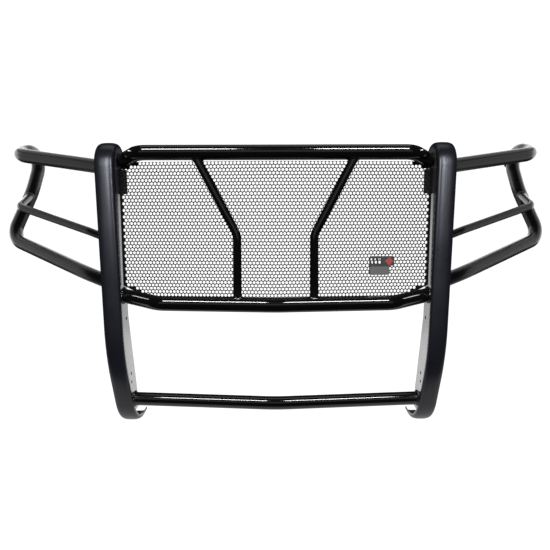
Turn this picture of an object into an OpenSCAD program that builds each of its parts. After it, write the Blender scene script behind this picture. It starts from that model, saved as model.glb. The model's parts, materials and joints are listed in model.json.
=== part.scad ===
/* [Uprights] */
// Clear width between the two uprights
clear_w = 1100; // [1090:1:1110]
// Width of each upright's front channel
channel_w = 68; // [62:1:74]
// Depth of the front channel
channel_depth = 20; // [18:1:22]
// Wall of the front channel
channel_wall = 3; // [2:0.5:4]
// Rounding of the channel's front corners
channel_corner = 14; // [12:1:15]
// Radius of the channel where it curls over the top
curl_r = 82; // [78:1:86]
// How far round the curl goes
curl_angle = 155; // [140:1:158]
// Overall height
total_h = 1100; // [1096:1:1104]
// Height at which the front starts to sweep back
sweep_top_z = 450; // [445:1:460]
// Radius of the upper part of the sweep
sweep_r = 600; // [590:1:620]
// Slope of the front between the two bends
sweep_angle = 20.5; // [19:0.1:22]
// Radius of the bottom bend
toe_r = 190; // [185:1:195]
// Straight end of the channel behind the bottom bend
toe_len = 37; // [25:1:45]
// Thickness of the side plates
plate_t = 6; // [5:0.5:8]
// Diameter of the bolt holes in the side plates
bolt_d = 13.5; // [12:0.5:15]
// Spacing of the lower pair of bolt holes
bolt_pitch = 34; // [32:1:38]

/* [Tubes] */
// Outside diameter of the crossbars and wing loops
bar_d = 50.8; // [48:0.1:54]
// Wall of the crossbars and wing loops
bar_wall = 2.1; // [1.6:0.1:3]
// Outside diameter of the struts and wing rails
rail_d = 28.6; // [26:0.1:32]
// Wall of the struts and wing rails
rail_wall = 1.6; // [1.2:0.1:2.4]

/* [Punched plate] */
// Thickness of the punched plate
sheet_t = 2; // [1.5:0.1:3]
// Diameter of the holes
hole_d = 10.4; // [8:0.1:10.8]
// Spacing of the holes along a row
hole_pitch = 12.7; // [12:0.1:14]
// Spacing of the rows
row_pitch = 11.5; // [11:0.1:13]
// Number of rows
rows = 45; // [43:1:45]
// Half width of the plate
sheet_half = 546; // [536:1:548]
// Angle by which each half is bent back from the middle
sheet_bend = 4.1; // [3.5:0.1:4.3]
// Angle by which the plate leans back
sheet_lean = 2.8; // [2.5:0.1:3]

/* [Emblem] */
// Width of the emblem
emblem_w = 89; // [75:1:95]
// Height of the emblem
emblem_h = 66; // [56:1:70]

/* [Hidden] */
$fn = 48;

// The outline's middle lies this far behind the front of the uprights
depth_mid = 119.65;
// Reach of the cutting blocks beyond the part
far = 1500;

half_clear = clear_w / 2;
plate_out = half_clear + plate_t;
channel_mid = half_clear + channel_w / 2;
curl_z = total_h - curl_r;
sweep_x = sweep_r * (1 - cos(sweep_angle));
sweep_z = sweep_top_z - sweep_r * sin(sweep_angle);
toe_z = toe_r * (1 - sin(sweep_angle));
slope_len = (sweep_z - toe_z) / cos(sweep_angle);
toe_x = sweep_x + slope_len * sin(sweep_angle);
toe_mid = toe_x + toe_r * cos(sweep_angle);

// ---- vectors ----
function unit(v) = v / norm(v);
function lift(a, b) = unit(b - a);
// Distance from corner i to where its bend of radius r starts
function setback(p, i, r) =
    r * tan(acos(max(-1, min(1, lift(p[i - 1], p[i]) * lift(p[i], p[i + 1])))) / 2);
function leave(p, i, r) =
    i == 0 ? p[0] : p[i] + lift(p[i], p[i + 1]) * setback(p, i, r);
function arrive(p, i, r) =
    i == len(p) - 1 ? p[i] : p[i] - lift(p[i - 1], p[i]) * setback(p, i, r);

// ---- tube building ----
// Hair gap where a straight length meets a bend, and the share of its turn that a bend covers
seam = 0.02;
bend_part = 0.999;

// Stands its children at a, with their z axis towards b
module aim(a, b) {
    v = b - a;
    translate(a)
        rotate([0, acos(v.z / norm(v)), atan2(v.y, v.x)])
            children();
}

module rod(a, b, d) {
    aim(a, b)
        cylinder(h = norm(b - a), d = d);
}

// A straight length of tube, a seam short of b
module pipe(a, b, d, wall) {
    aim(a, b)
        difference() {
            cylinder(h = norm(b - a) - seam, d = d);
            translate([0, 0, -d])
                cylinder(h = norm(b - a) + 2 * d, d = d - 2 * wall);
        }
}

// Carries its section round a bend of radius r at corner i of the route p, up to a fraction of the turn
module elbow(p, i, r, part = 1) {
    start = arrive(p, i, r);
    along = lift(p[i - 1], p[i]);
    turn = acos(along * lift(p[i], p[i + 1]));
    axis = unit(cross(along, lift(p[i], p[i + 1])));
    out = cross(along, axis);
    mid = start - out * r;
    multmatrix([
        [out.x, along.x, axis.x, mid.x],
        [out.y, along.y, axis.y, mid.y],
        [out.z, along.z, axis.z, mid.z],
        [0, 0, 0, 1]
    ])
        rotate_extrude(angle = part * turn)
            translate([r, 0])
                children();
}

// A solid round bar along the route p, with a bend radius for each point
module round_run(p, r, d) {
    for (i = [0 : len(p) - 2])
        rod(leave(p, i, r[i]), arrive(p, i + 1, r[i + 1]), d);
    for (i = [1 : len(p) - 2])
        elbow(p, i, r[i])
            circle(d = d);
}

// A bent tube along the route p, as its straight lengths and its bends
module tube_run(p, r, d, wall) {
    for (i = [0 : len(p) - 2])
        pipe(leave(p, i, r[i]), arrive(p, i + 1, r[i + 1]), d, wall);
    for (i = [1 : len(p) - 2])
        elbow(p, i, r[i], bend_part)
            difference() {
                circle(d = d);
                circle(d = d - 2 * wall);
            }
}

// Moves the part so that its outline stands centred on the origin
module placed() {
    translate([0, -depth_mid, 0])
        children();
}

module flip(side) {
    if (side > 0)
        children();
    else
        mirror([1, 0, 0])
            children();
}

// ---- uprights ----
// Number of lengths that each bend of a channel is made in
curl_lengths = 5;
sweep_lengths = 2;
toe_lengths = 4;

// The plane of a side view, with the extrusion running across the part
module side_view(x) {
    translate([x, 0, 0])
        rotate([90, 0, 90])
            children();
}

// Open channel section, measured outward from its front face
module channel_section() {
    half = channel_w / 2;
    inner = half - channel_wall;
    inner_corner = channel_corner - channel_wall;
    difference() {
        union() {
            translate([-channel_depth, -half])
                square([channel_depth - channel_corner, channel_w]);
            translate([-channel_depth, -half + channel_corner])
                square([channel_depth, channel_w - 2 * channel_corner]);
            for (s = [-1, 1])
                translate([-channel_corner, s * (half - channel_corner)])
                    circle(r = channel_corner);
        }
        union() {
            translate([-far, -inner])
                square([far - channel_corner, 2 * inner]);
            translate([-far, -half + channel_corner])
                square([far - channel_wall, channel_w - 2 * channel_corner]);
            for (s = [-1, 1])
                translate([-channel_corner, s * (half - channel_corner)])
                    circle(r = inner_corner);
        }
    }
}

// A bend of the channel, as a number of equal lengths with a hair gap round each
module channel_arc(mid, r, from, angle, lengths) {
    step = angle / lengths;
    for (k = [0 : lengths - 1])
        translate([mid.x, mid.y, 0])
            rotate([0, 0, from + (k + (1 - bend_part) / 2) * step])
                rotate_extrude(angle = bend_part * step, $fn = 96)
                    translate([r, 0])
                        channel_section();
}

module channel_leg(end, facing, length) {
    translate([end.x, end.y, 0])
        rotate([0, 0, facing])
            rotate([90, 0, 0])
                linear_extrude(height = length - seam)
                    channel_section();
}

module upright_channel(side) {
    color([0.10, 0.10, 0.11])
        placed()
            side_view(side * channel_mid) {
                channel_arc([curl_r, curl_z], curl_r, 180 - curl_angle, curl_angle, curl_lengths);
                channel_leg([0, sweep_top_z], 180, curl_z - sweep_top_z);
                channel_arc([sweep_r, sweep_top_z], sweep_r, 180, sweep_angle, sweep_lengths);
                channel_leg([toe_x, toe_z], 180 + sweep_angle, slope_len);
                channel_arc([toe_mid, toe_r], toe_r, 180 + sweep_angle, 90 - sweep_angle, toe_lengths);
                channel_leg([toe_mid + toe_len, 0], 270, toe_len);
            }
}

// Pie slice of a circle, for the curved front of a side plate
module slice(mid, r, from, to) {
    intersection() {
        translate(mid)
            circle(r = r, $fn = 192);
        polygon([mid, mid + 2 * r * [cos(from), sin(from)], mid + 2 * r * [cos(to), sin(to)]]);
    }
}

// Rear and bottom edges of the side plate
plate_back = 91;
plate_kink_z = 470;
plate_foot = [176, 84];
// Height over which the rear edge flares out to close the crossbar's end
plate_flare = 120;
// Gap left for the weld between a channel and its side plate
weld_gap = 0.1;

module side_plate_outline() {
    front = channel_depth + weld_gap;
    out = [cos(180 + sweep_angle), sin(180 + sweep_angle)];
    down = [-out.y, out.x];
    sweep_end = [sweep_r, sweep_top_z] + (sweep_r - front) * out;
    toe_start = [toe_mid, toe_r] + (toe_r - front) * out;
    intersection() {
        union() {
            translate([curl_r, curl_z])
                circle(r = curl_r - front, $fn = 96);
            translate([front, sweep_top_z])
                square([2 * curl_r, curl_z - sweep_top_z]);
            slice([sweep_r, sweep_top_z], sweep_r - front, 180, 180 + sweep_angle);
            polygon([sweep_end, toe_start, toe_start - 200 * out, sweep_end - 200 * out]);
            slice([toe_mid, toe_r], toe_r - front, 180 + sweep_angle, 270);
        }
        union() {
            polygon([
                [0, plate_foot.y], plate_foot, [plate_back, plate_kink_z],
                [plate_back, curl_z - plate_flare], [2 * curl_r - front, curl_z], [0, curl_z]
            ]);
            translate([0, curl_z])
                square([far, curl_r]);
        }
    }
}

// Bolt holes: a single upper one and a lower pair
upper_hole = [62, 471];
lower_hole = [88, 214];

module side_plate(side) {
    color([0.16, 0.16, 0.17])
        placed()
            side_view(side > 0 ? half_clear : -plate_out)
                linear_extrude(height = plate_t)
                    difference() {
                        side_plate_outline();
                        translate(upper_hole)
                            circle(d = bolt_d);
                        for (k = [0, 1])
                            translate(lower_hole + [0, k * bolt_pitch])
                                circle(d = bolt_d);
                    }
}

// ---- crossbars ----
bend_r = 90;
top_bend_r = 60;
bar_end = half_clear + 30;

function mirrored(v) = [-v.x, v.y, v.z];
// A symmetric route from its right-hand half, listed from the end to the middle
function both_ways(half) =
    concat(
        [for (v = half) mirrored(v)],
        [for (k = [len(half) - 1 : -1 : 0]) if (half[k].x > 0) half[k]]
    );

top_y = -15;
top_z = 1062;
top_half = [[bar_end, 118, 1022], [462, top_y, top_z]];
middle_half = [[bar_end, 69, 561], [403, -58, 555], [0, -85, 554]];
lower_half = [[bar_end, 125, 132], [0, 79, 130.5]];
middle_bends = [0, bend_r, 400, bend_r, 0];
top_bends = [0, top_bend_r, top_bend_r, 0];
lower_bends = [0, 600, 0];

// Keeps what lies between the uprights
module between_uprights() {
    intersection() {
        children();
        translate([-half_clear, -far / 2, -far / 4])
            cube([clear_w, far, 1.5 * far]);
    }
}

module top_crossbar() {
    color([0.03, 0.03, 0.03])
        placed()
            between_uprights()
                tube_run(both_ways(top_half), top_bends, bar_d, bar_wall);
}

module middle_crossbar() {
    color([0.03, 0.03, 0.03])
        placed()
            between_uprights()
                tube_run(both_ways(middle_half), middle_bends, bar_d, bar_wall);
}

module lower_crossbar() {
    color([0.03, 0.03, 0.03])
        placed()
            between_uprights()
                tube_run(both_ways(lower_half), lower_bends, bar_d, bar_wall);
}

// ---- struts ----
strut_foot = [130, -76.3, 554];
strut_knee = [130, -50, 790];
strut_head = [274, top_y, top_z];

module strut(side) {
    color([0.03, 0.03, 0.03])
        placed()
            flip(side)
                difference() {
                    tube_run([strut_foot, strut_knee, strut_head], [0, 70, 0], rail_d, rail_wall);
                    round_run(both_ways(top_half), top_bends, bar_d);
                    round_run(both_ways(middle_half), middle_bends, bar_d);
                }
}

// ---- punched plate ----
sheet_y = -9;
sheet_z = 518;
sheet_h = rows * row_pitch;
// Corner cuts that clear the crossbars' swept ends, as [width, height]
top_cut = [80, 29];
bottom_cut = [165, 84];
edge_margin = 10;
// Rows in each strip of the sheet, and the hair gap between strips and at the bend line
strip_rows = 3;
strip_gap = 0.02;

// Half width of the sheet at a height above its bottom edge
function sheet_half_at(h) =
    let (down = sheet_h - h)
    min(sheet_half,
        sheet_half - top_cut.x * (1 - down / top_cut.y),
        sheet_half - bottom_cut.x * (1 - h / bottom_cut.y));

// Plan section of the sheet's right-hand half, bent back from the middle
module sheet_plan() {
    back = sheet_half * tan(sheet_bend);
    polygon([
        [strip_gap, strip_gap * tan(sheet_bend)], [sheet_half, back],
        [sheet_half, back + sheet_t], [strip_gap, strip_gap * tan(sheet_bend) + sheet_t]
    ]);
}

// Front outline of that half, with its two cut corners
module sheet_outline() {
    polygon([
        [0, 0], [sheet_half - bottom_cut.x, 0], [sheet_half, bottom_cut.y],
        [sheet_half, sheet_h - top_cut.y], [sheet_half - top_cut.x, sheet_h], [0, sheet_h]
    ]);
}

// Stands the sheet in its place, leaning back
module sheet_place() {
    translate([0, sheet_y, sheet_z])
        rotate([-sheet_lean, 0, 0])
            children();
}

// The holes of row j
module row_holes(j) {
    shift = j % 2 == 0 ? 0 : 0.5;
    punched = min(sheet_half_at(j * row_pitch), sheet_half_at((j + 1) * row_pitch)) - edge_margin;
    for (i = [0 : floor(sheet_half / hole_pitch)])
        if ((i + shift) * hole_pitch < punched)
            translate([(i + shift) * hole_pitch, 2 * bar_d, (j + 0.5) * row_pitch])
                rotate([90, 0, 0])
                    cylinder(h = 4 * bar_d, d = hole_d, $fn = 24);
}

// A strip of the sheet, from row first to the row before end
module sheet_strip(first, end) {
    low = first * row_pitch;
    high = end * row_pitch;
    difference() {
        intersection() {
            translate([0, 0, low])
                linear_extrude(height = high - low - strip_gap)
                    sheet_plan();
            if (min(sheet_half_at(low), sheet_half_at(high)) < sheet_half)
                translate([0, sheet_half, 0])
                    rotate([90, 0, 0])
                        linear_extrude(height = 2 * sheet_half)
                            sheet_outline();
        }
        for (j = [first : end - 1])
            row_holes(j);
    }
}

// One half of the sheet, from the bend line outward
module punched_plate(side) {
    color([0.05, 0.05, 0.05])
        placed()
            flip(side)
                sheet_place()
                    for (first = [0 : strip_rows : rows - 1])
                        sheet_strip(first, min(first + strip_rows, rows));
}

// ---- what holds the punched plate ----
bracket_w = 31;
bracket_h = 84;
bracket_leg = 30;
bracket_t = 3;
bracket_z = 407;
tab_x = 255;
tab_w = 32;
tab_t = 4;

// Distance of the sheet's back from the middle of the sheet, at a distance x across
function sheet_back(x) = x * tan(sheet_bend) + sheet_t + weld_gap;

// Angle bracket between the back of the sheet and a side plate
module upper_bracket(side) {
    inner = half_clear - bracket_w;
    color([0.04, 0.04, 0.04])
        placed()
            flip(side)
                sheet_place()
                    translate([0, 0, bracket_z])
                        linear_extrude(height = bracket_h)
                            polygon([
                                [inner, sheet_back(inner)],
                                [half_clear, sheet_back(half_clear)],
                                [half_clear, sheet_back(half_clear) + bracket_leg],
                                [half_clear - bracket_t, sheet_back(half_clear) + bracket_leg],
                                [half_clear - bracket_t, sheet_back(half_clear) + bracket_t],
                                [inner, sheet_back(inner) + bracket_t]
                            ]);
}

// Flat tab from the back of the middle crossbar to the front of the sheet
module lower_tab(side) {
    color([0.04, 0.04, 0.04])
        placed()
            flip(side)
                difference() {
                    translate([tab_x - tab_w / 2, middle_half[1].y, middle_half[1].z - tab_t / 2])
                        cube([tab_w, 150, tab_t]);
                    round_run(both_ways(middle_half), middle_bends, bar_d);
                    sheet_place()
                        linear_extrude(height = sheet_h)
                            polygon([
                                [0, -weld_gap],
                                [sheet_half, sheet_half * tan(sheet_bend) - weld_gap],
                                [sheet_half, sheet_half],
                                [0, sheet_half]
                            ]);
                }
}

// ---- wings ----
// Route of the loop: out along the top, back round the lamp, down and in again
loop_route = [
    [half_clear, 62, 1009],
    [962, 181, 1065],
    [925, 354.8, 1100],
    [962, 296, 925],
    [1042, 258, 746],
    [680, 58, 640],
    [half_clear, 50, 588]
];
loop_bends = [0, 60, 62, 250, 62, 150, 0];
// The corner of the loop where the rail comes back to it
rail_corner = 3;
rail_route = [
    [half_clear, 44, 750],
    [668, 62, 793],
    [962, 178, 873],
    [966, 295, 914]
];
rail_bends = [0, 60, 32, 0];

// Keeps what lies outside a side plate
module outside_upright() {
    difference() {
        children();
        translate([plate_out - far, -far / 2, -far / 4])
            cube([far, far, 1.5 * far]);
    }
}

module wing_loop(side) {
    color([0.10, 0.10, 0.10])
        placed()
            flip(side)
                outside_upright()
                    tube_run(loop_route, loop_bends, bar_d, bar_wall);
}

module wing_rail(side) {
    color([0.10, 0.10, 0.10])
        placed()
            flip(side)
                difference() {
                    outside_upright()
                        tube_run(rail_route, rail_bends, rail_d, rail_wall);
                    elbow(loop_route, rail_corner, loop_bends[rail_corner])
                        circle(d = bar_d);
                }
}

// Small triangular tab under the rear of the right-hand loop
tab_size = 34;
tab_corner = [897, 335, 1040];

module wing_tab() {
    color([0.05, 0.05, 0.05])
        placed()
            difference() {
                translate(tab_corner)
                    rotate([90, 0, 0])
                        linear_extrude(height = tab_t, center = true)
                            polygon([[0, 0], [tab_size, 0], [tab_size, -tab_size]]);
                round_run(loop_route, loop_bends, bar_d);
            }
}

// ---- emblem ----
// Its two studs go through holes of the sheet, this many holes and rows from the middle and the bottom
stud_holes = [27.5, 31.5];
stud_row = 13.5;
stud_d = 5;
stud_len = 13;
clip_d = 15;
clip_t = 1.5;
emblem_t = 5;
emblem_corner = 5;
// The base is an upper band with a narrower block below its left end
band_h = 34;
block_w = 72;
block_h = 40;
window_w = 9;
window_h = 20;
window_pitch = 14;
window_edge = 4;
bar_edge = 2;
bar_h = 28;
inlay_w = 30;
inlay_h = 32;
inlay_at = [25, 15.5];
cover_t = 2.5;

stud_x = stud_holes * hole_pitch / cos(sheet_bend);

// Puts a piece on the front of the sheet, facing forward
module emblem_place() {
    placed()
        sheet_place()
            rotate([0, 0, sheet_bend])
                translate([(stud_x[0] + stud_x[1]) / 2, -weld_gap, stud_row * row_pitch])
                    rotate([90, 0, 0])
                        children();
}

module rounded_plate(w, h, r) {
    square([w - 2 * r, h], center = true);
    square([w, h - 2 * r], center = true);
    for (sx = [-1, 1])
        for (sy = [-1, 1])
            translate([sx * (w / 2 - r), sy * (h / 2 - r)])
                circle(r = r);
}

module each_stud() {
    for (s = [-1, 1])
        translate([s * (stud_x[1] - stud_x[0]) / 2, 0, 0])
            children();
}

module emblem_base() {
    color([0.06, 0.06, 0.07])
        emblem_place()
            linear_extrude(height = emblem_t)
                difference() {
                    union() {
                        translate([0, (emblem_h - band_h) / 2])
                            rounded_plate(emblem_w, band_h, emblem_corner);
                        translate([block_w - emblem_w, block_h - emblem_h] / 2)
                            rounded_plate(block_w, block_h, emblem_corner);
                    }
                    for (k = [0 : 2])
                        translate([
                            window_edge + window_w / 2 - emblem_w / 2 + k * window_pitch,
                            (emblem_h - band_h) / 2
                        ])
                            rounded_plate(window_w, window_h, bar_edge);
                }
}

module emblem_bar() {
    color([0.62, 0.63, 0.65])
        emblem_place()
            translate([(block_w - emblem_w) / 2, bar_edge + (bar_h - emblem_h) / 2, emblem_t])
                linear_extrude(height = cover_t)
                    rounded_plate(block_w - 2 * bar_edge, bar_h, emblem_corner - bar_edge);
}

module emblem_inlay() {
    color([0.65, 0.05, 0.05])
        emblem_place()
            translate([inlay_at.x, inlay_at.y, emblem_t])
                linear_extrude(height = cover_t)
                    polygon([
                        [inlay_w / 2, 0], [0, inlay_h / 2], [-inlay_w / 2, 0], [0, -inlay_h / 2]
                    ]);
}

module emblem_studs() {
    color([0.55, 0.55, 0.57])
        emblem_place()
            each_stud()
                translate([0, 0, -stud_len])
                    cylinder(h = stud_len, d = stud_d);
}

module emblem_clips() {
    color([0.50, 0.50, 0.52])
        emblem_place()
            each_stud()
                translate([0, 0, -sheet_t - 2 * weld_gap - clip_t])
                    difference() {
                        cylinder(h = clip_t, d = clip_d);
                        translate([0, 0, -1])
                            cylinder(h = clip_t + 2, d = stud_d);
                    }
}

upright_channel(-1);  // upright_channel_left
upright_channel(1);  // upright_channel_right
side_plate(-1);  // side_plate_left
side_plate(1);  // side_plate_right
top_crossbar();
middle_crossbar();
lower_crossbar();
strut(-1);  // strut_left
strut(1);  // strut_right
punched_plate(-1);  // punched_plate_left
punched_plate(1);  // punched_plate_right
upper_bracket(-1);  // upper_bracket_left
upper_bracket(1);  // upper_bracket_right
lower_tab(-1);  // lower_tab_left
lower_tab(1);  // lower_tab_right
wing_loop(-1);  // wing_loop_left
wing_loop(1);  // wing_loop_right
wing_rail(-1);  // wing_rail_left
wing_rail(1);  // wing_rail_right
wing_tab();
emblem_base();
emblem_bar();
emblem_inlay();
emblem_studs();
emblem_clips();
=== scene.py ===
import json
import math
import random

import bmesh
import bpy
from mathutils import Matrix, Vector

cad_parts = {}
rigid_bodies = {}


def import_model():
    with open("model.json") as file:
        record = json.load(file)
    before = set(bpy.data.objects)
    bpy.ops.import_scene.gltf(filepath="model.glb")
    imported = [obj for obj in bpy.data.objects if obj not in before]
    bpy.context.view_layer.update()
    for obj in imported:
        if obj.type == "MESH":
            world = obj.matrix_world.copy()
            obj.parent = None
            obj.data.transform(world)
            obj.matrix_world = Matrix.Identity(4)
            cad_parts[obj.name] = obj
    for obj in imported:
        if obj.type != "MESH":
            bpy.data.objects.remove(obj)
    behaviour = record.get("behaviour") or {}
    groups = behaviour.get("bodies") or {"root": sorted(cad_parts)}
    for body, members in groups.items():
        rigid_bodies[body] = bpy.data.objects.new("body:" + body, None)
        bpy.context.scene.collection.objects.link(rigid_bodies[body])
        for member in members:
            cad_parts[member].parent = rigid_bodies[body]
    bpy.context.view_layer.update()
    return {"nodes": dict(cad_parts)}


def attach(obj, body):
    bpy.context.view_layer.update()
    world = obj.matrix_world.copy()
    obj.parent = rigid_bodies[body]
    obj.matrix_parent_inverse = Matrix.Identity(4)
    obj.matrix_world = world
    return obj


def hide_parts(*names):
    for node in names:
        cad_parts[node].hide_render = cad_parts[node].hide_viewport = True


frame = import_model()
nodes = frame["nodes"]
random.seed(7)

# ---------------------------------------------------------------- sizes, in mm
# Y is measured from the front of the uprights here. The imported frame's origin lies DEPTH_MID behind it.
MM = 0.001
DEPTH_MID = 119.65
SIDES = ((1, "right"), (-1, "left"))

# tubes and the plates that they meet
HALF_CLEAR = 550.0
PLATE_T = 6.0
PLATE_OUT = HALF_CLEAR + PLATE_T
BAR_D = 50.8
RAIL_D = 28.6
BAR_SIDES = 56
RAIL_SIDES = 40

# uprights
CHANNEL_W = 68.0
CHANNEL_DEPTH = 20.0
CHANNEL_WALL = 3.0
SHOULDER = 16.0
CROWN_POWER = 2.9
CROWN_STEPS = 28
TOTAL_H = 1100.0
CURL_R = 82.0
CURL_ANGLE = 155.0
SWEEP_TOP = 450.0
SWEEP_R = 600.0
SWEEP_ANGLE = 20.5
TOE_R = 190.0
TOE_LEN = 37.0

# routes of the tubes, each with the bend radius at each of its points
TOP_HALF = [(580, 118, 1022), (462, -15, 1062)]
TOP_R = [0, 60, 60, 0]
MIDDLE_HALF = [(580, 69, 561), (403, -58, 555), (0, -85, 554)]
MIDDLE_R = [0, 90, 400, 90, 0]
LOWER_HALF = [(580, 125, 132), (0, 79, 130.5)]
LOWER_R = [0, 600, 0]
STRUT = [(130, -76.3, 554), (130, -50, 790), (274, -15, 1062)]
STRUT_R = [0, 70, 0]
LOOP = [
    (550, 62, 1009), (962, 181, 1065), (925, 354.8, 1100), (962, 296, 925),
    (1042, 258, 746), (680, 58, 640), (550, 50, 588),
]
LOOP_R = [0, 60, 62, 250, 62, 150, 0]
RAIL = [(550, 44, 750), (668, 62, 793), (962, 178, 873), (966, 295, 914)]
RAIL_R = [0, 60, 32, 0]

# how far from its end a tube's own rings stop, where its last ring is fitted to what it meets
BAR_TRIM = 40
STRUT_TRIM = 48
LOOP_TRIM = 20
RAIL_TRIM = 12
RAIL_END_TRIM = 44

# welds
BAR_WELD = 5.5
RAIL_WELD = 4.2
WELD_POINTS = 240
WELD_ROOT = 0.6
FACE_STEPS = 4
FACE_LEVEL = 0.84
FACE_CROWN = 0.05
RIPPLE_PITCH = 3.4
LEAST_RIPPLES = 12
RIPPLE = 0.13
STRETCHES = 12
DRIFT = 0.08

# punched sheet
SHEET_Y = -9.0
SHEET_Z = 518.0
SHEET_T = 2.0
SHEET_HALF = 546.0
SHEET_BEND = math.radians(4.1)
SHEET_LEAN = math.radians(2.8)
HOLE_D = 10.4
HOLE_PITCH = 12.7
HOLE_SIDES = 16
ROW_PITCH = 11.5
ROWS = 45
SHEET_H = ROWS * ROW_PITCH
TOP_CUT = (64.0, 23.0)
BOTTOM_CUT = (165.0, 84.0)
EDGE_MARGIN = 10.0
NEAR_ZERO = 1e-6
TINY = 1e-9


def at(p):
    """A point in mm, with Y from the front of the uprights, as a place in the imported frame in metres."""
    return Vector((p[0], p[1] - DEPTH_MID, p[2])) * MM


# ---------------------------------------------------------------- materials
def new_material(name):
    mat = bpy.data.materials.new(name)
    mat.use_nodes = True
    return mat, mat.node_tree, mat.node_tree.nodes["Principled BSDF"]


def add_node(tree, kind, **values):
    """A shader node with its inputs set. An underscore in a key stands for a space."""
    made = tree.nodes.new("ShaderNode" + kind)
    for key, value in values.items():
        made.inputs[key.replace("_", " ")].default_value = value
    return made


def add_mix(tree, **colours):
    """A node that mixes two colours."""
    made = tree.nodes.new("ShaderNodeMix")
    made.data_type = "RGBA"
    for key, colour in colours.items():
        made.inputs[key].default_value = (*colour, 1)
    return made


def coat(name, base, tint, rough, peel, rough_span=0.03, peel_scale=900.0, gloss_layer=0.0, dust=0.0):
    """Powder coat: an orange-peel skin, uneven gloss, faint mottling, and paler worn edges."""
    mat, tree, bsdf = new_material(name)
    link = tree.links.new
    place = add_node(tree, "TexCoord")
    fine = add_node(tree, "TexNoise", Scale=peel_scale, Detail=2.0)
    wide = add_node(tree, "TexNoise", Scale=9.0, Detail=6.0, Roughness=0.65)
    grit = add_node(tree, "TexNoise", Scale=240.0, Detail=4.0)
    for noise in (fine, wide, grit):
        link(place.outputs["Object"], noise.inputs["Vector"])

    gloss = add_node(tree, "MapRange", From_Min=0.3, From_Max=0.7)
    gloss.inputs["To Min"].default_value = rough - rough_span
    gloss.inputs["To Max"].default_value = rough + rough_span
    link(wide.outputs["Fac"], gloss.inputs["Value"])
    link(gloss.outputs["Result"], bsdf.inputs["Roughness"])

    mottle = add_mix(tree, A=base, B=tint)
    link(wide.outputs["Fac"], mottle.inputs["Factor"])
    shape = add_node(tree, "NewGeometry")
    edge = add_node(tree, "MapRange", From_Min=0.52, From_Max=0.60, To_Max=dust)
    link(shape.outputs["Pointiness"], edge.inputs["Value"])
    speck = add_node(tree, "Math")
    speck.operation = "MULTIPLY"
    link(edge.outputs["Result"], speck.inputs[0])
    link(grit.outputs["Fac"], speck.inputs[1])
    worn = add_mix(tree, B=(0.20, 0.20, 0.205))
    link(speck.outputs["Value"], worn.inputs["Factor"])
    link(mottle.outputs["Result"], worn.inputs["A"])
    link(worn.outputs["Result"], bsdf.inputs["Base Color"])

    bump = add_node(tree, "Bump", Strength=peel, Distance=0.0004)
    link(fine.outputs["Fac"], bump.inputs["Height"])
    link(bump.outputs["Normal"], bsdf.inputs["Normal"])
    bsdf.inputs["Coat Weight"].default_value = gloss_layer
    bsdf.inputs["Coat Roughness"].default_value = 0.08
    return mat


def brushed(name, base, rough, stretch, scratch):
    """Metal brushed along one direction, with fine scratches."""
    mat, tree, bsdf = new_material(name)
    link = tree.links.new
    bsdf.inputs["Metallic"].default_value = 1.0
    place = add_node(tree, "TexCoord")
    grain = add_node(tree, "Mapping", Scale=stretch)
    streak = add_node(tree, "TexNoise", Scale=60.0, Detail=8.0)
    link(place.outputs["Object"], grain.inputs["Vector"])
    link(grain.outputs["Vector"], streak.inputs["Vector"])

    tone = add_mix(tree, A=[0.72 * c for c in base], B=[min(1.0, 1.25 * c) for c in base])
    link(streak.outputs["Fac"], tone.inputs["Factor"])
    link(tone.outputs["Result"], bsdf.inputs["Base Color"])
    gloss = add_node(tree, "MapRange", To_Min=rough - 0.08, To_Max=rough + 0.10)
    link(streak.outputs["Fac"], gloss.inputs["Value"])
    link(gloss.outputs["Result"], bsdf.inputs["Roughness"])
    bump = add_node(tree, "Bump", Strength=scratch, Distance=0.0002)
    link(streak.outputs["Fac"], bump.inputs["Height"])
    link(bump.outputs["Normal"], bsdf.inputs["Normal"])
    return mat


COATS = {
    "channel_coat": dict(base=(0.0045, 0.0048, 0.0068), tint=(0.0075, 0.0078, 0.0105), rough=0.30,
                         peel=0.10, dust=0.10),
    "plate_coat": dict(base=(0.06, 0.06, 0.062), tint=(0.08, 0.08, 0.083), rough=0.26,
                       peel=0.08, dust=0.2),
    "bar_coat": dict(base=(0.0015, 0.0015, 0.0017), tint=(0.003, 0.003, 0.0033), rough=0.08,
                     peel=0.006, rough_span=0.01, peel_scale=700.0, gloss_layer=0.3, dust=0.05),
    "wing_coat": dict(base=(0.007, 0.007, 0.0075), tint=(0.012, 0.012, 0.0125), rough=0.28,
                      peel=0.015, dust=0.10),
    "sheet_coat": dict(base=(0.002, 0.002, 0.002), tint=(0.004, 0.004, 0.004), rough=0.45,
                       peel=0.10, rough_span=0.05),
    "bracket_coat": dict(base=(0.002, 0.002, 0.002), tint=(0.004, 0.004, 0.004), rough=0.62,
                         peel=0.12, rough_span=0.05, dust=0.05),
    "emblem_black": dict(base=(0.004, 0.004, 0.0045), tint=(0.008, 0.008, 0.0085), rough=0.22,
                         peel=0.05, peel_scale=1500.0, gloss_layer=0.4, dust=0.15),
    "emblem_red": dict(base=(0.50, 0.035, 0.035), tint=(0.40, 0.025, 0.025), rough=0.20,
                       peel=0.05, peel_scale=1500.0, gloss_layer=0.6),
}
METALS = {
    "emblem_metal": dict(base=(0.30, 0.31, 0.32), rough=0.38, stretch=(1.0, 40.0, 40.0), scratch=0.25),
    "stud_zinc": dict(base=(0.50, 0.50, 0.52), rough=0.40, stretch=(20.0, 20.0, 20.0), scratch=0.3),
}
MATERIALS = {name: coat(name, **look) for name, look in COATS.items()}
MATERIALS.update({name: brushed(name, **look) for name, look in METALS.items()})


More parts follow.
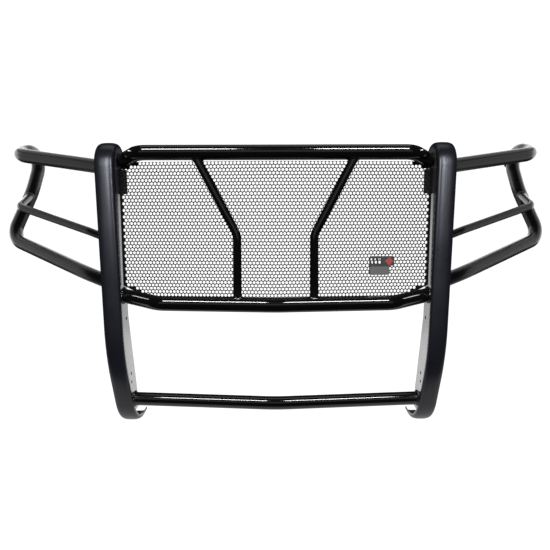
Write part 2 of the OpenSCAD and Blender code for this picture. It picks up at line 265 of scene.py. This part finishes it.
# ---------------------------------------------------------------- mesh helpers
def add_piece(name, verts, faces, slot, sharp=35.0, replaces=()):
    """A new piece with the material of its slot, smooth up to the angle sharp, in degrees."""
    me = bpy.data.meshes.new(name)
    me.from_pydata([tuple(v) for v in verts], [], faces)
    me.validate()
    bm = bmesh.new()
    bm.from_mesh(me)
    bmesh.ops.recalc_face_normals(bm, faces=bm.faces)
    bm.to_mesh(me)
    bm.free()
    me.polygons.foreach_set("use_smooth", [True] * len(me.polygons))
    me.set_sharp_from_angle(angle=math.radians(sharp))
    ob = bpy.data.objects.new(name, me)
    bpy.context.scene.collection.objects.link(ob)
    me.materials.append(MATERIALS[slot])
    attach(ob, "root")
    if replaces:
        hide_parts(*replaces)
    return ob


def ring_faces(rows, n, closed=False):
    """Quads between rows of n points, each row a ring. closed joins the last row to the first."""
    faces = []
    for i in range(rows if closed else rows - 1):
        near, far = i * n, (i + 1) % rows * n
        for k in range(n):
            after = (k + 1) % n
            faces.append((near + k, near + after, far + after, far + k))
    return faces


def on_side(points, side):
    """A right-hand route, moved to the given side."""
    return [(side * x, y, z) for x, y, z in points]


def both_ways(half):
    """A symmetric route from its right-hand half, which is listed from the end to the middle."""
    return on_side(half, -1) + [p for p in reversed(half) if p[0] > 0]


def centreline(points, radii, step=3.0, span=25.0):
    """Points and directions along a route with rounded corners: step in degrees, span in mm."""
    p = [Vector(q) for q in points]
    out = []
    last = p[0]
    for i in range(1, len(p)):
        if i == len(p) - 1:
            stretch_to, arc = p[i], []
        else:
            a = (p[i] - p[i - 1]).normalized()
            b = (p[i + 1] - p[i]).normalized()
            turn = math.acos(max(-1.0, min(1.0, a.dot(b))))
            stretch_to = p[i] - a * (radii[i] * math.tan(turn / 2))
            axis = a.cross(b).normalized()
            side = axis.cross(a)
            mid = stretch_to + side * radii[i]
            count = max(2, int(math.degrees(turn) / step))
            arc = []
            for k in range(1, count + 1):
                t = turn * k / count
                away = -side * math.cos(t) + a * math.sin(t)
                ahead = (a * math.cos(t) + side * math.sin(t)).normalized()
                arc.append((mid + away * radii[i], ahead))
        d = (stretch_to - last).normalized()
        count = max(1, int((stretch_to - last).length / span))
        if not out:
            out.append((last.copy(), d))
        for k in range(1, count + 1):
            out.append((last.lerp(stretch_to, k / count), d))
        out += arc
        last = out[-1][0]
    return out


def rings_along(line, radius, sides):
    """A ring of points round each point of a centreline, turned as little as possible."""
    d = line[0][1]
    up = Vector((0, 0, 1)) if abs(d.z) < 0.9 else Vector((0, 1, 0))
    n = (up - d * up.dot(d)).normalized()
    angles = [2 * math.pi * k / sides for k in range(sides)]
    rings = []
    for q, d in line:
        n = (n - d * n.dot(d)).normalized()
        b = d.cross(n)
        rings.append([q + (n * math.cos(t) + b * math.sin(t)) * radius for t in angles])
    return rings


def tube_body(line, radius, sides, keep):
    """Directions and rings of a tube, at the points of its centreline that keep(p) accepts."""
    rings = rings_along(line, radius, sides)
    return [(d, ring) for (p, d), ring in zip(line, rings) if keep(p)]


def tube_piece(name, first, body, final, slot, node):
    """A closed tube from its first ring, through its body, to its final ring, in place of a CAD node."""
    rings = [first] + [ring for d, ring in body] + [final]
    n = len(first)
    faces = ring_faces(len(rings), n)
    faces.append(tuple(range(n - 1, -1, -1)))
    faces.append(tuple((len(rings) - 1) * n + k for k in range(n)))
    add_piece(name, [at(v) for ring in rings for v in ring], faces, slot, replaces=(node,))


def to_plane(ring, d, x):
    """Slides each point along d to the plane at x."""
    return [v + d * ((x - v.x) / d.x) for v in ring]


def to_cylinder(ring, d, centre, axis, radius):
    """Slides each point along d to the surface of a cylinder, on the side that the ring comes from."""
    out = []
    for v in ring:
        w = v - centre
        w = w - axis * w.dot(axis)
        e = d - axis * d.dot(axis)
        a, b, c = e.dot(e), 2 * w.dot(e), w.dot(w) - radius * radius
        root = math.sqrt(max(0.0, b * b - 4 * a * c))
        out.append(v + d * min(((-b - root) / (2 * a), (-b + root) / (2 * a)), key=abs))
    return out


def axis_through(line, p):
    """The place and direction of a centreline, level with p."""
    q, d = min(line, key=lambda s: (s[0] - p).length)
    return q + d * (p - q).dot(d), d


# ---------------------------------------------------------------- welds
def resample(loop, count):
    """A closed loop of points, evenly spaced, and its length."""
    n = len(loop)
    lengths = [(loop[(k + 1) % n] - loop[k]).length for k in range(n)]
    total = sum(lengths)
    out, k, run = [], 0, 0.0
    for j in range(count):
        want = total * j / count
        while run + lengths[k] < want:
            run += lengths[k]
            k += 1
        out.append(loop[k].lerp(loop[(k + 1) % n], (want - run) / lengths[k]))
    return out, total


def weld_bead(name, loop, along, outward, size, slot):
    """A rippled fillet round a joint. along(p) and outward(p) say which way its two legs run."""
    points, total = resample(loop, WELD_POINTS)
    ripples = max(LEAST_RIPPLES, round(total / RIPPLE_PITCH))
    drifts = [random.uniform(-DRIFT, DRIFT) for _ in range(STRETCHES)]
    verts = []
    for j, p in enumerate(points):
        turn = j / len(points)
        stretch = turn * STRETCHES
        ripple = RIPPLE * abs(math.sin(math.pi * ripples * turn))
        drift = drifts[int(stretch)] * math.sin(math.pi * (stretch % 1))
        scale = size * (1.0 + ripple + drift)
        a, b = along(p), outward(p)
        ring = [p + a * scale - b * WELD_ROOT]
        for k in range(FACE_STEPS + 1):
            t = math.pi / 2 * k / FACE_STEPS
            face = FACE_LEVEL + FACE_CROWN * math.sin(2 * t) if 0 < k < FACE_STEPS else 1.0
            ring.append(p + (a * math.cos(t) + b * math.sin(t)) * scale * face)
        ring.append(p + b * scale - a * WELD_ROOT)
        ring.append(p - (a + b) * WELD_ROOT)
        verts += [at(v) for v in ring]
    faces = ring_faces(len(points), len(ring), closed=True)
    add_piece(name, verts, faces, slot, sharp=60)


def plate_weld(name, ring, d, into, size, slot):
    """Weld round a tube that leaves a plate of constant x, towards +x if into is 1 and -x if it is -1."""
    middle = sum(ring, Vector()) / len(ring)
    away = d if d.x * into > 0 else -d

    def outward(p):
        w = p - middle
        w.x = 0
        return w.normalized()

    weld_bead(name, ring, lambda p: away, outward, size, slot)


def saddle_weld(name, ring, d, centre, axis, size, slot):
    """Weld round a tube that meets another tube. d points away from the other tube."""
    middle = sum(ring, Vector()) / len(ring)

    def outward(p):
        w = p - centre
        w = (w - axis * w.dot(axis)).normalized()
        out = p - middle
        out = out - w * out.dot(w)
        return out.normalized()

    weld_bead(name, ring, lambda p: d, outward, size, slot)


# ---------------------------------------------------------------- uprights
def channel_outline(half, shoulder):
    """An outline of the channel, from one lip over its crown to the other, as (depth, across)."""
    knee = -(CHANNEL_DEPTH + SHOULDER) / 2
    crown = []
    for k in range(CROWN_STEPS + 1):
        t = math.pi * k / CROWN_STEPS
        c, s = math.cos(t), math.sin(t)
        across = -math.copysign(abs(c) ** (2 / CROWN_POWER), c) * half
        crown.append((-SHOULDER + shoulder * abs(s) ** (2 / CROWN_POWER), across))
    return [(-CHANNEL_DEPTH, -half), (knee, -half)] + crown + [(knee, half), (-CHANNEL_DEPTH, half)]


def channel_path():
    """Front line of an upright in the side view: (y, z) and its outward direction."""
    s, c = math.sin(math.radians(SWEEP_ANGLE)), math.cos(math.radians(SWEEP_ANGLE))
    curl_z = TOTAL_H - CURL_R
    sweep_y, sweep_z = SWEEP_R * (1 - c), SWEEP_TOP - SWEEP_R * s
    toe_z = TOE_R * (1 - s)
    slope = (sweep_z - toe_z) / c
    toe_y = sweep_y + slope * s + TOE_R * c
    path = []

    def arc(cy, cz, r, a0, a1, count):
        for k in range(count + 1):
            a = math.radians(a0 + (a1 - a0) * k / count)
            path.append((cy + r * math.cos(a), cz + r * math.sin(a), math.cos(a), math.sin(a)))

    def straight(dy, dz, count):
        y, z, ny, nz = path[-1]
        for k in range(1, count):
            path.append((y + dy * k / count, z + dz * k / count, ny, nz))

    arc(CURL_R, curl_z, CURL_R, 180 - CURL_ANGLE, 180, count=48)
    straight(0.0, SWEEP_TOP - curl_z, count=16)
    arc(SWEEP_R, SWEEP_TOP, SWEEP_R, 180, 180 + SWEEP_ANGLE, count=16)
    straight(slope * s, -slope * c, count=6)
    arc(toe_y, TOE_R, TOE_R, 180 + SWEEP_ANGLE, 270, count=28)
    path.append((toe_y + TOE_LEN, 0.0, 0.0, -1.0))
    return path


def make_upright(side, label):
    outer = channel_outline(CHANNEL_W / 2, SHOULDER)
    inner = channel_outline(CHANNEL_W / 2 - CHANNEL_WALL, SHOULDER - CHANNEL_WALL)
    ring = outer + inner[::-1]
    path = channel_path()
    mid = side * (HALF_CLEAR + CHANNEL_W / 2)
    verts = [at((mid + v, y + ny * u, z + nz * u)) for y, z, ny, nz in path for u, v in ring]
    n = len(ring)
    faces = ring_faces(len(path), n)
    for base in (0, (len(path) - 1) * n):
        for k in range(len(outer) - 1):
            faces.append((base + k, base + k + 1, base + n - 2 - k, base + n - 1 - k))
    add_piece("upright_" + label, verts, faces, "channel_coat", sharp=50,
              replaces=("upright_channel_" + label,))


for side, label in SIDES:
    make_upright(side, label)


# ---------------------------------------------------------------- crossbars
def make_crossbar(name, half, radii):
    """A crossbar between the side plates. Returns its centreline."""
    line = centreline(both_ways(half), radii)
    body = tube_body(line, BAR_D / 2, BAR_SIDES, lambda p: abs(p.x) < HALF_CLEAR - BAR_TRIM)
    (first_dir, first_ring), (final_dir, final_ring) = body[0], body[-1]
    first = to_plane(first_ring, first_dir, -HALF_CLEAR)
    final = to_plane(final_ring, final_dir, HALF_CLEAR)
    tube_piece(name + "_tube", first, body, final, "bar_coat", name)
    plate_weld("weld_" + name + "_left", first, first_dir, 1, BAR_WELD, "bar_coat")
    plate_weld("weld_" + name + "_right", final, final_dir, -1, BAR_WELD, "bar_coat")
    return line


top_line = make_crossbar("top_crossbar", TOP_HALF, TOP_R)
middle_line = make_crossbar("middle_crossbar", MIDDLE_HALF, MIDDLE_R)
make_crossbar("lower_crossbar", LOWER_HALF, LOWER_R)


# ---------------------------------------------------------------- struts
def make_strut(side, label):
    route = on_side(STRUT, side)
    foot_end, head_end = Vector(route[0]), Vector(route[-1])
    foot_axis = axis_through(middle_line, foot_end)
    head_axis = axis_through(top_line, head_end)

    def clear_of_ends(p):
        return min((p - foot_end).length, (p - head_end).length) > STRUT_TRIM

    body = tube_body(centreline(route, STRUT_R), RAIL_D / 2, RAIL_SIDES, clear_of_ends)
    (foot_dir, foot_ring), (head_dir, head_ring) = body[0], body[-1]
    foot = to_cylinder(foot_ring, foot_dir, *foot_axis, BAR_D / 2)
    head = to_cylinder(head_ring, head_dir, *head_axis, BAR_D / 2)
    tube_piece("strut_tube_" + label, foot, body, head, "bar_coat", "strut_" + label)
    saddle_weld("weld_strut_foot_" + label, foot, foot_dir, *foot_axis, RAIL_WELD, "bar_coat")
    saddle_weld("weld_strut_head_" + label, head, -head_dir, *head_axis, RAIL_WELD, "bar_coat")


for side, label in SIDES:
    make_strut(side, label)


# ---------------------------------------------------------------- wings
def make_loop(side, label):
    """The wing's outer tube. Returns its centreline."""
    line = centreline(on_side(LOOP, side), LOOP_R)
    body = tube_body(line, BAR_D / 2, BAR_SIDES, lambda p: abs(p.x) > PLATE_OUT + LOOP_TRIM)
    (top_dir, top_ring), (bottom_dir, bottom_ring) = body[0], body[-1]
    top = to_plane(top_ring, top_dir, side * PLATE_OUT)
    bottom = to_plane(bottom_ring, bottom_dir, side * PLATE_OUT)
    tube_piece("wing_loop_tube_" + label, top, body, bottom, "wing_coat", "wing_loop_" + label)
    plate_weld("weld_wing_top_" + label, top, top_dir, side, BAR_WELD, "wing_coat")
    plate_weld("weld_wing_bottom_" + label, bottom, bottom_dir, side, BAR_WELD, "wing_coat")
    return line


def make_rail(side, label, loop_line):
    """The thin tube from the upright to the wing's outer tube."""
    route = on_side(RAIL, side)
    end = Vector(route[-1])
    loop_axis = axis_through(loop_line, end)

    def clear_of_ends(p):
        return abs(p.x) > PLATE_OUT + RAIL_TRIM and (p - end).length > RAIL_END_TRIM

    body = tube_body(centreline(route, RAIL_R), RAIL_D / 2, RAIL_SIDES, clear_of_ends)
    (first_dir, first_ring), (final_dir, final_ring) = body[0], body[-1]
    first = to_plane(first_ring, first_dir, side * PLATE_OUT)
    final = to_cylinder(final_ring, final_dir, *loop_axis, BAR_D / 2)
    tube_piece("wing_rail_tube_" + label, first, body, final, "wing_coat", "wing_rail_" + label)
    plate_weld("weld_rail_" + label, first, first_dir, side, RAIL_WELD, "wing_coat")
    saddle_weld("weld_rail_end_" + label, final, -final_dir, *loop_axis, RAIL_WELD, "wing_coat")


for side, label in SIDES:
    make_rail(side, label, make_loop(side, label))


# ---------------------------------------------------------------- punched sheet
# A point of the flat sheet is (x, h): x across from the bend line, h up from the lower edge.
def half_at(h):
    """Half of the sheet's width at a height, between its cut corners."""
    top = SHEET_HALF - TOP_CUT[0] * (1 - (SHEET_H - h) / TOP_CUT[1])
    bottom = SHEET_HALF - BOTTOM_CUT[0] * (1 - h / BOTTOM_CUT[1])
    return min(SHEET_HALF, top, bottom)


def sheet_point(x, h, back):
    """A point of the bent sheet: back is 0 on its front and its thickness on its back."""
    y = abs(x) * math.tan(SHEET_BEND) + back
    c, s = math.cos(SHEET_LEAN), math.sin(SHEET_LEAN)
    return at((x, SHEET_Y + y * c + h * s, SHEET_Z - y * s + h * c))


def edge_line(a, b):
    """A function that is positive to the left of the line from a to b."""
    return lambda p: (b[0] - a[0]) * (p[1] - a[1]) - (b[1] - a[1]) * (p[0] - a[0])


def clip(poly, f):
    """The part of a polygon where f(p) is not negative."""
    out = []
    for k, p in enumerate(poly):
        q = poly[(k + 1) % len(poly)]
        a, b = f(p), f(q)
        if a >= -TINY:
            out.append(p)
        if (a >= -TINY) != (b >= -TINY):
            t = a / (a - b)
            out.append((p[0] + (q[0] - p[0]) * t, p[1] + (q[1] - p[1]) * t))
    return out


def cell_rim(x, h):
    """The rectangle round a hole's centre, with a point for each of the hole's."""
    half, quarter = HOLE_SIDES // 2, HOLE_SIDES // 4

    def ramp(k):
        """Falls from 1 at k = 0 to -1 half way round and rises again, level for a quarter at each end."""
        away = abs((k + half) % HOLE_SIDES - half)
        return max(-1.0, min(1.0, (quarter - away) / (quarter / 2)))

    return [(x + HOLE_PITCH / 2 * ramp(k), h + ROW_PITCH / 2 * ramp(k - quarter)) for k in range(HOLE_SIDES)]


def punched_cell(x, h):
    """Quads between a hole and the outline of its cell, without what crosses the bend line."""
    rim = cell_rim(x, h)
    angles = [2 * math.pi * k / HOLE_SIDES for k in range(HOLE_SIDES)]
    hole = [(x + HOLE_D / 2 * math.cos(t), h + HOLE_D / 2 * math.sin(t)) for t in angles]
    quads = []
    for k in range(HOLE_SIDES):
        after = (k + 1) % HOLE_SIDES
        quad = [rim[k], rim[after], hole[after], hole[k]]
        if any(p[0] > NEAR_ZERO for p in quad):
            quads.append([(max(0.0, p[0]), p[1]) for p in quad])
    return quads


def plain_cell(x, h):
    """A cell with no hole, cut to the sheet's outline."""
    bounds = [
        edge_line((SHEET_HALF - BOTTOM_CUT[0], 0), (SHEET_HALF, BOTTOM_CUT[1])),
        edge_line((SHEET_HALF, SHEET_H - TOP_CUT[1]), (SHEET_HALF - TOP_CUT[0], SHEET_H)),
        edge_line((SHEET_HALF, 0), (SHEET_HALF, SHEET_H)),
        edge_line((0, SHEET_H), (0, 0)),
    ]
    poly = cell_rim(x, h)
    for f in bounds:
        poly = clip(poly, f)
    return [poly]


def sheet_cells():
    """Every face of one half of the sheet, as points of the flat sheet."""
    cells = []
    for j in range(ROWS):
        low, high = j * ROW_PITCH, (j + 1) * ROW_PITCH
        shift = 0.0 if j % 2 == 0 else 0.5
        punched = min(half_at(low), half_at(high)) - EDGE_MARGIN
        for i in range(-1, int(SHEET_HALF / HOLE_PITCH) + 2):
            x, h = (i + shift) * HOLE_PITCH, low + ROW_PITCH / 2
            if x + HOLE_PITCH / 2 <= NEAR_ZERO or x - HOLE_PITCH / 2 >= SHEET_HALF:
                continue
            cells += punched_cell(x, h) if x < punched else plain_cell(x, h)
    return cells


def make_sheet(side, label):
    """One half of the sheet, from the bend line outward, with its thickness."""
    numbers, faces = {}, []
    for cell in sheet_cells():
        face = []
        for p in cell:
            v = numbers.setdefault((round(p[0], 3), round(p[1], 3)), len(numbers))
            if v not in face:
                face.append(v)
        if len(face) >= 3:
            faces.append(face)
    count = len(numbers)
    edges = {(f[k], f[(k + 1) % len(f)]): True for f in faces for k in range(len(f))}
    walls = [(b, a, a + count, b + count) for a, b in edges if (b, a) not in edges]
    verts = [sheet_point(side * x, h, back) for back in (0.0, SHEET_T) for x, h in numbers]
    skin = [tuple(f) for f in faces] + [tuple(v + count for v in reversed(f)) for f in faces] + walls
    add_piece("punched_sheet_" + label, verts, skin, "sheet_coat", sharp=40,
              replaces=("punched_plate_" + label,))


for side, label in SIDES:
    make_sheet(side, label)


# ---------------------------------------------------------------- pieces carried over from CAD
def dress(name, slot, bevel):
    """Gives a CAD node its material and small bevelled edges, in mm."""
    ob = nodes[name]
    ob.data.materials.clear()
    ob.data.materials.append(MATERIALS[slot])
    mod = ob.modifiers.new("edges", "BEVEL")
    mod.width = bevel * MM
    mod.segments = 3
    mod.limit_method = "ANGLE"
    mod.angle_limit = math.radians(40)
    mod.harden_normals = True


for side, label in SIDES:
    dress("side_plate_" + label, "plate_coat", 0.8)
    dress("upper_bracket_" + label, "bracket_coat", 0.5)
    dress("lower_tab_" + label, "bracket_coat", 0.5)
dress("wing_tab", "wing_coat", 0.4)
dress("emblem_base", "emblem_black", 0.7)
dress("emblem_bar", "emblem_metal", 0.5)
dress("emblem_inlay", "emblem_red", 0.6)
dress("emblem_studs", "stud_zinc", 0.3)
dress("emblem_clips", "stud_zinc", 0.2)


# ---------------------------------------------------------------- floor and world, in metres
def make_floor(half=60.0, z=-0.0005):
    """A pale floor that the camera sees and the object does not reflect."""
    mesh = bpy.data.meshes.new("floor")
    corners = [(-half, -half, z), (half, -half, z), (half, half, z), (-half, half, z)]
    mesh.from_pydata(corners, [], [(0, 1, 2, 3)])
    floor = bpy.data.objects.new("floor", mesh)
    bpy.context.scene.collection.objects.link(floor)
    mat, _, bsdf = new_material("pale_floor")
    bsdf.inputs["Base Color"].default_value = (0.9, 0.9, 0.9, 1)
    bsdf.inputs["Roughness"].default_value = 0.9
    bsdf.inputs["Emission Color"].default_value = (1, 1, 1, 1)
    bsdf.inputs["Emission Strength"].default_value = 1.05
    mesh.materials.append(mat)
    floor.visible_glossy = False
    floor.visible_diffuse = False
    floor.visible_shadow = False


def make_world():
    """A white backdrop for the camera, and a much darker one for what lights the object."""
    world = bpy.data.worlds.new("studio")
    bpy.context.scene.world = world
    world.use_nodes = True
    tree = world.node_tree
    tree.nodes.clear()
    link = tree.links.new
    out = add_node(tree, "OutputWorld")
    pick = add_node(tree, "MixShader")
    seen = add_node(tree, "Background", Color=(1, 1, 1, 1), Strength=1.1)
    felt = add_node(tree, "Background", Color=(0.92, 0.95, 1.0, 1), Strength=0.03)
    ray = add_node(tree, "LightPath")
    link(ray.outputs["Is Camera Ray"], pick.inputs["Fac"])
    link(felt.outputs["Background"], pick.inputs[1])
    link(seen.outputs["Background"], pick.inputs[2])
    link(pick.outputs["Shader"], out.inputs["Surface"])


make_floor()
make_world()


# ---------------------------------------------------------------- lamps, in metres
def softbox(name, place, target, width, height, radiance, colour=(1, 1, 1)):
    """A rectangular lamp that looks equally bright from anywhere in front of it."""
    data = bpy.data.lights.new(name, "AREA")
    data.shape = "RECTANGLE"
    data.size = width
    data.size_y = height
    data.color = colour
    data.energy = radiance * math.pi * width * height
    ob = bpy.data.objects.new(name, data)
    bpy.context.scene.collection.objects.link(ob)
    ob.location = place
    ob.rotation_mode = "QUATERNION"
    ob.rotation_quaternion = (Vector(target) - Vector(place)).to_track_quat("-Z", "Y")
    ob.visible_camera = False
    return ob


def pair(name, place, target, width, height, radiance, colour=(1, 1, 1)):
    """A lamp on each side, from the place and target of the right-hand one."""
    return [
        softbox(name + "_" + label, *on_side([place, target], side), width, height, radiance, colour)
        for side, label in SIDES
    ]


def shine_on(lamps, prefixes):
    """Keeps lamps to the pieces whose names start with one of the prefixes."""
    group = bpy.data.collections.new(lamps[0].name + "_on")
    for ob in bpy.data.objects:
        if ob.type == "MESH" and ob.name.startswith(prefixes):
            group.objects.link(ob)
    for lamp in lamps:
        lamp.light_linking.receiver_collection = group


UPRIGHTS = ("upright_left", "upright_right")
WINGS = ("wing_", "weld_wing", "weld_rail")
BARS = (
    "top_crossbar", "middle_crossbar", "lower_crossbar", "strut",
    "weld_top", "weld_middle", "weld_lower", "weld_strut",
)
INNER_PARTS = ("side_plate", "upper_bracket", "lower_tab", "punched_sheet", "emblem_")

tall = pair("tall_front", (0.92, -3.0, 2.05), (0.58, 0, 1.3), 0.46, 2.3, 31.0, (0.86, 0.89, 1.0))
shine_on(tall, UPRIGHTS)
strips = pair("strip", (1.15, -2.4, 3.8), (1.15, 0, 0.6), 1.5, 0.30, 64.0)
shine_on(strips, BARS + INNER_PARTS)
around = pair("side", (3.0, -0.9, 1.0), (0, 0, 0.9), 2.6, 4.4, 0.9)
around += pair("far_side", (4.8, 2.4, 1.5), (0, 0.2, 0.9), 5.0, 4.0, 2.4)
around.append(softbox("rear_high", (0, 5.0, 2.4), (0, 0, 1.2), 9.0, 5.0, 2.4))
around.append(softbox("roof", (0, 1.2, 5.0), (0, 0, 0.9), 10.0, 5.0, 0.9))
shine_on(around, WINGS)
bar_lamps = pair("side_strip", (3.0, 0.7, 2.3), (0, 0, 0.6), 1.6, 0.2, 12.0)
bar_lamps.append(softbox("front_fill", (0, -4.0, 2.3), (0, 0, 1.0), 7.0, 2.0, 0.35))
shine_on(bar_lamps, BARS)
rear_low = softbox("rear_low", (0, 5.0, -0.7), (0, 0, -0.7), 9.0, 3.0, 1.5)
shine_on([rear_low], ("side_plate",) + UPRIGHTS)
badge_fill = softbox("badge_fill", (1.1, -3.2, 0.9), (0.37, -0.1, 0.68), 1.6, 1.6, 1.0)
shine_on([badge_fill], ("emblem_",))
softbox("overhead", (0, 0.9, 4.2), (0, 0.1, 0.8), 3.6, 1.6, 0.7)
softbox("bounce", (0, 0.6, -0.01), (0, 0.6, 1), 3.2, 1.6, 0.6)


# ---------------------------------------------------------------- camera
def make_camera(place, tilt, roll):
    """A camera in front, its place in mm, tilted down and rolled by degrees."""
    data = bpy.data.cameras.new("camera")
    data.lens = 35.0
    data.sensor_width = 36.0
    data.shift_x = -0.0009
    data.clip_start = 0.05
    data.clip_end = 200
    cam = bpy.data.objects.new("camera", data)
    bpy.context.scene.collection.objects.link(cam)
    cam.location = at(place)
    cam.rotation_euler = (math.radians(90 - tilt), math.radians(roll), 0)
    bpy.context.scene.camera = cam


make_camera((0, -1845, 978), tilt=10.3, roll=0.15)
bpy.context.scene.view_settings.view_transform = "Standard"
